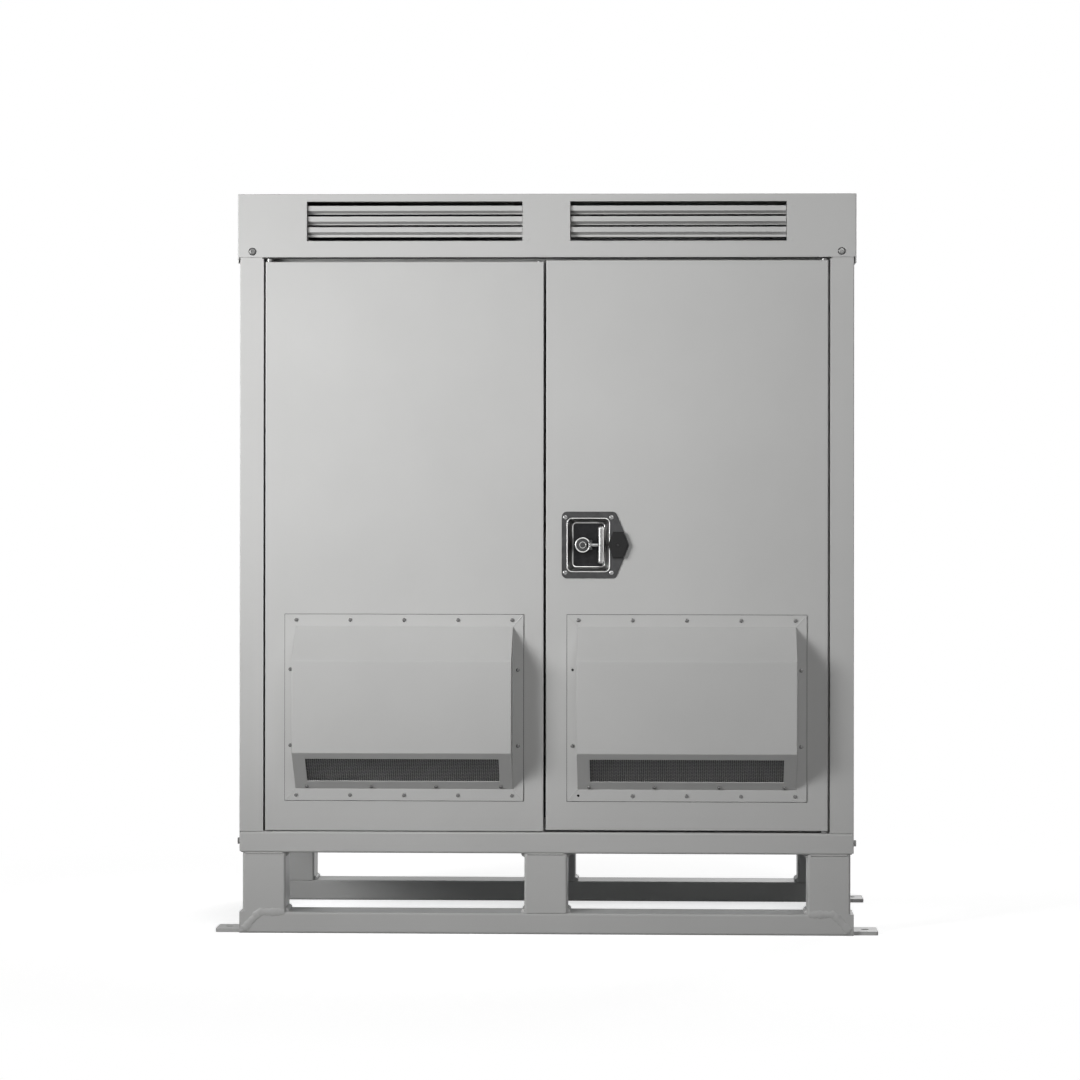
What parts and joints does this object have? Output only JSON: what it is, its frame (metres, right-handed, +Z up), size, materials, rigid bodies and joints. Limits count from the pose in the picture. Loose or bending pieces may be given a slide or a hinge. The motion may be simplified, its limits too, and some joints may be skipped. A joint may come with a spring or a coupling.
{
  "type": "battery cabinet",
  "caption": "Outdoor battery cabinet on a fork-lift skid: hinged doors with intake hoods and fans, folding T-handle latch, louvred roof cover and racked battery modules.",
  "frame": {"origin": "centre of the whole box on the floor", "axes": "+X to the right of someone facing the doors, -Y out of the doors, +Z up"},
  "size_m": [1.395, 0.7846, 1.555],
  "materials": {
    "powder_coat": "light grey powder coat, fine orange peel",
    "galvanised": "zinc coated sheet",
    "zinc_steel": "bright zinc",
    "polished_steel": "polished stainless",
    "mesh_steel": "dark woven wire",
    "seal_rubber": "matt foam rubber",
    "black_plastic": "moulded, fine grain",
    "filter_mat": "matted fibre",
    "module_coat": "black textured coat",
    "cell_can": "wrapped cell cans",
    "copper": "bright copper bar",
    "breaker_shell": "moulded shell"
  },
  "bodies": {
    "cabinet": {"skid_bottom_rails": "powder_coat", "skid_rail_ends": "powder_coat", "skid_posts": "powder_coat", "skid_long_rails": "powder_coat", "skid_side_rails": "powder_coat", "skid_bearers": "powder_coat", "anchor_tabs": "powder_coat", "floor_plate": "galvanised", "side_bolts": "zinc_steel", "left_side_panel": "powder_coat", "right_side_panel": "powder_coat", "corner_posts": "powder_coat", "rear_panel": "powder_coat", "header": "powder_coat", "stop_strips": "powder_coat", "roof_cover": "powder_coat", "louvre_boxes": "powder_coat", "louvre_blades": "powder_coat", "panel_screws": "zinc_steel", "hinge_pins": "zinc_steel", "rack_rails": "galvanised", "module_runners": "galvanised", "module_cases": "module_coat", "cell_stacks": "cell_can", "module_grips": "black_plastic", "module_terminals": "black_plastic", "busbars": "copper", "breaker_panels": "module_coat", "breakers": "breaker_shell"},
    "left_leaf": {"left_door": "powder_coat", "left_gasket": "seal_rubber", "left_hood": "powder_coat", "left_mesh": "mesh_steel", "left_hood_screws": "zinc_steel", "left_filter": "filter_mat", "left_fan_tray": "galvanised", "left_fan_frames": "black_plastic"},
    "right_leaf": {"right_door": "powder_coat", "right_gasket": "seal_rubber", "right_hood": "powder_coat", "right_mesh": "mesh_steel", "right_hood_screws": "zinc_steel", "right_filter": "filter_mat", "right_fan_tray": "galvanised", "right_fan_frames": "black_plastic", "latch_pan": "polished_steel", "latch_rivets": "polished_steel"},
    "fan_1": {"fan_rotor_1": "black_plastic"},
    "fan_2": {"fan_rotor_2": "black_plastic"},
    "fan_3": {"fan_rotor_3": "black_plastic"},
    "fan_4": {"fan_rotor_4": "black_plastic"},
    "latch": {"latch_hub": "polished_steel", "latch_cam": "zinc_steel"},
    "handle": {"t_handle": "polished_steel"},
    "plug": {"lock_plug": "polished_steel"},
    "keeper": {"handle_keeper": "black_plastic"},
    "top_bolt": {"upper_bolt": "zinc_steel"},
    "foot_bolt": {"lower_bolt": "zinc_steel"},
    "toggle_left": {"breaker_toggle_left": "breaker_shell"},
    "toggle_right": {"breaker_toggle_right": "breaker_shell"}
  },
  "joints": [
    {"name": "left_door_hinge", "type": "hinge", "parent": "cabinet", "child": "left_leaf", "pos_m": [-0.583, -0.30425, 0.8], "axis": [0, 0, -1], "range_deg": [0, 110]},
    {"name": "right_door_hinge", "type": "hinge", "parent": "cabinet", "child": "right_leaf", "pos_m": [0.583, -0.30425, 0.8], "axis": [0, 0, 1], "range_deg": [0, 110]},
    {"name": "handle_fold", "type": "hinge", "parent": "latch", "child": "handle", "pos_m": [0.0915, -0.30425, 0.818], "axis": [0, 0, -1], "range_deg": [0, 90]},
    {"name": "latch_turn", "type": "hinge", "parent": "right_leaf", "child": "latch", "pos_m": [0.077, -0.31225, 0.818], "axis": [0, -1, 0], "range_deg": [0, 90]},
    {"name": "lock_turn", "type": "hinge", "parent": "latch", "child": "plug", "pos_m": [0.077, -0.31225, 0.818], "axis": [0, -1, 0], "range_deg": [0, 90]},
    {"name": "keeper_turn", "type": "hinge", "parent": "right_leaf", "child": "keeper", "pos_m": [0.1515, -0.31225, 0.818], "axis": [0, -1, 0], "range_deg": [0, 90]},
    {"name": "upper_bolt_slide", "type": "slide", "parent": "left_leaf", "child": "top_bolt", "axis": [0, 0, 1], "range_m": [0, 0.015]},
    {"name": "lower_bolt_slide", "type": "slide", "parent": "left_leaf", "child": "foot_bolt", "axis": [0, 0, -1], "range_m": [0, 0.015]},
    {"name": "fan_1_spin", "type": "hinge", "parent": "left_leaf", "child": "fan_1", "pos_m": [-0.385, -0.28, 0.476], "axis": [0, 1, 0], "continuous": true},
    {"name": "fan_2_spin", "type": "hinge", "parent": "left_leaf", "child": "fan_2", "pos_m": [-0.211, -0.28, 0.476], "axis": [0, 1, 0], "continuous": true},
    {"name": "fan_3_spin", "type": "hinge", "parent": "right_leaf", "child": "fan_3", "pos_m": [0.2085, -0.28, 0.476], "axis": [0, 1, 0], "continuous": true},
    {"name": "fan_4_spin", "type": "hinge", "parent": "right_leaf", "child": "fan_4", "pos_m": [0.3825, -0.28, 0.476], "axis": [0, 1, 0], "continuous": true},
    {"name": "breaker_left_throw", "type": "hinge", "parent": "cabinet", "child": "toggle_left", "pos_m": [-0.29, -0.17225, 1.395], "axis": [1, 0, 0], "range_deg": [0, 50]},
    {"name": "breaker_right_throw", "type": "hinge", "parent": "cabinet", "child": "toggle_right", "pos_m": [0.29, -0.17225, 1.395], "axis": [1, 0, 0], "range_deg": [0, 50]}
  ],
  "couplings": [
    {"joint": "handle_fold", "follows": "latch_turn", "ratio": 1}
  ]
}
